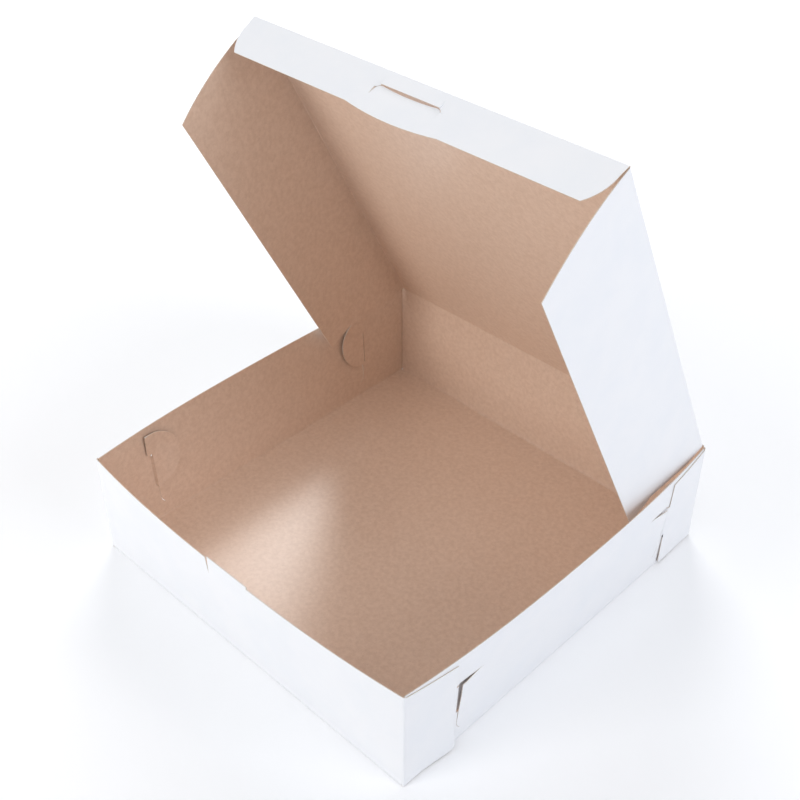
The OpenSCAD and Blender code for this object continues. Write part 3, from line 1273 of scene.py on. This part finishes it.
        self.build_fold("hinge_fold", (-self.hinge_half, self.hinge_half), hinge, True)
        wide = self.front_half
        self.build_fold("tuck_fold", (-wide, wide), front, True)
        for side in Side:
            def turn(u: float, part: float, side: Side = side) -> Vector:
                """Turn from the lid into a side flap."""
                x = side.value * self.fold_x
                return self.bend(
                    place(side.value * half, u, 0), place(x, u, 0),
                    place(x, u, self.fold_drop + self.side_reach), part)
            word = side.name.lower()
            self.build_fold(
                f"{word}_fold", self.side_ends, turn, side is Side.LEFT)

    def build(self) -> None:
        """Make the lid, its flaps and the folds between them."""
        self.build_panel()
        self.build_tuck()
        for side in Side:
            self.build_side(side)
        self.build_folds()


@dataclass(frozen=True)
class Lamp:
    """A square soft lamp that shines on the box.

    Azimuth 0 is in front and 90 on the right, in degrees. Size is in metres and power in watts.
    """

    name: str
    azimuth: float
    elevation: float
    size: float
    power: float
    tint: str


@dataclass
class Studio:
    """Camera, soft light and a plain pale floor, in metres."""

    target: Vector = field(default_factory=lambda: Vector((-2.86, 0.95, 99.57)) * MM)
    azimuth: float = 44.17
    elevation: float = 38.02
    distance: float = 0.6585
    lens: float = 56.5
    sensor: float = 36.0
    nearest: float = 0.01
    sky: str = "#F6F8FC"
    sky_level: float = 0.5
    floor_tint: str = "#F2F3F5"
    floor_reach: float = 6.0
    # The floor's white for the eye, faint at the box, where its shadow lies, and full far away
    glow_ends: Point = (0.25, 1.3)
    glow_levels: Point = (0.09, 0.6)
    lamp_distance: float = 1.5
    lamp_aim: float = 0.06
    lamps: tuple[Lamp, ...] = (
        Lamp("key", -16.0, 16.0, 0.5, 8.4, "#FFFDFA"),
        Lamp("fill", 98.0, 26.0, 0.8, 7.6, "#FAFBFF"),
        Lamp("sheen", -136.0, 36.0, 0.7, 8.8, "#FFFDFA"),
        Lamp("top", 15.0, 66.0, 0.6, 2.6, "#FFFDFA"))

    def direction(self, azimuth: float, elevation: float) -> Vector:
        """Unit vector towards a point of the sky, azimuth 0 in front and 90 on the right."""
        turn, rise = math.radians(azimuth), math.radians(elevation)
        return Vector((math.sin(turn) * math.cos(rise), -math.cos(turn) * math.cos(rise), math.sin(rise)))

    def add_camera(self) -> None:
        """Set the camera where the photograph was taken from."""
        data = bpy.data.cameras.new("camera")
        data.lens, data.sensor_width = self.lens, self.sensor
        data.clip_start = self.nearest
        camera = bpy.data.objects.new("camera", data)
        bpy.context.scene.collection.objects.link(camera)
        way = self.direction(self.azimuth, self.elevation)
        camera.location = self.target + way * self.distance
        camera.rotation_euler = way.to_track_quat("Z", "Y").to_euler()
        bpy.context.scene.camera = camera

    def add_lamp(self, lamp: Lamp) -> None:
        """Hang a lamp and point it at the box.

        Args:
            lamp: The lamp.
        """
        data = bpy.data.lights.new(lamp.name, "AREA")
        data.size, data.energy, data.color = lamp.size, lamp.power, linear(lamp.tint)[:3]
        light = bpy.data.objects.new(lamp.name, data)
        bpy.context.scene.collection.objects.link(light)
        way = self.direction(lamp.azimuth, lamp.elevation)
        light.location = Vector((0, 0, self.lamp_aim)) + way * self.lamp_distance
        light.rotation_euler = way.to_track_quat("Z", "Y").to_euler()

    def seen(self, tree: bpy.types.NodeTree) -> bpy.types.NodeSocket:
        """Socket that is 1 for what the camera sees, straight or in a reflection.

        Args:
            tree: Tree that the socket is made in.

        Returns:
            The socket.
        """
        path = add_node(tree, "ShaderNodeLightPath")
        either = add_node(tree, "ShaderNodeMath", {
            0: path.outputs["Is Camera Ray"], 1: path.outputs["Is Glossy Ray"]}, operation="MAXIMUM")
        return add_node(tree, "ShaderNodeMath", {
            0: either.outputs[0], 1: path.outputs["Is Transmission Ray"]}, operation="MAXIMUM").outputs[0]

    def add_sky(self) -> None:
        """White all round for the eye, soft cool light for the surfaces."""
        world = bpy.data.worlds.new("studio")
        world.use_nodes = True
        tree = world.node_tree
        tree.nodes.clear()
        soft = add_node(tree, "ShaderNodeBackground", {"Color": linear(self.sky), "Strength": self.sky_level})
        white = add_node(tree, "ShaderNodeBackground", {"Color": (1, 1, 1, 1), "Strength": 1.0})
        mix = add_node(tree, "ShaderNodeMixShader", {
            0: self.seen(tree), 1: soft.outputs["Background"], 2: white.outputs["Background"]})
        add_node(tree, "ShaderNodeOutputWorld", {"Surface": mix.outputs["Shader"]})
        bpy.context.scene.world = world

    def add_floor(self) -> None:
        """Pale matt table top that keeps the shadow of the box."""
        data = bpy.data.meshes.new("table_top")
        far = self.floor_reach
        data.from_pydata(
            [(-far, -far, 0), (far, -far, 0), (far, far, 0), (-far, far, 0)], [], [(0, 1, 2, 3)])
        floor = bpy.data.objects.new("table_top", data)
        bpy.context.scene.collection.objects.link(floor)
        material, tree = new_material("painted_table_top")
        matt = add_node(tree, "ShaderNodeBsdfDiffuse", {"Color": linear(self.floor_tint)})
        place = add_node(tree, "ShaderNodeTexCoord").outputs["Object"]
        away = add_node(tree, "ShaderNodeVectorMath", {0: place}, operation="LENGTH")
        level = add_node(tree, "ShaderNodeMapRange", {
            "Value": away.outputs["Value"], "From Min": self.glow_ends[0], "From Max": self.glow_ends[1],
            "To Min": self.glow_levels[0], "To Max": self.glow_levels[1]})
        glow = add_node(tree, "ShaderNodeEmission", {
            "Color": (1, 1, 1, 1), "Strength": level.outputs["Result"]})
        none = add_node(tree, "ShaderNodeEmission", {"Strength": 0.0})
        seen = add_node(tree, "ShaderNodeMixShader", {
            0: self.seen(tree), 1: none.outputs["Emission"], 2: glow.outputs["Emission"]})
        both = add_node(tree, "ShaderNodeAddShader", {0: matt.outputs["BSDF"], 1: seen.outputs["Shader"]})
        add_node(tree, "ShaderNodeOutputMaterial", {"Surface": both.outputs["Shader"]})
        data.materials.append(material)

    def build(self) -> None:
        """Set up camera, light and floor."""
        bpy.context.scene.view_settings.view_transform = "Standard"
        self.add_camera()
        self.add_sky()
        self.add_floor()
        for lamp in self.lamps:
            self.add_lamp(lamp)


def main() -> None:
    """Build the box and its studio, logging the faces of each piece."""
    logging.basicConfig(level=logging.INFO, format="%(name)s: %(message)s")
    board = Board()
    Tray(board).build()
    Lid(board).build()
    Studio().build()


if __name__ == "__main__":
    main()
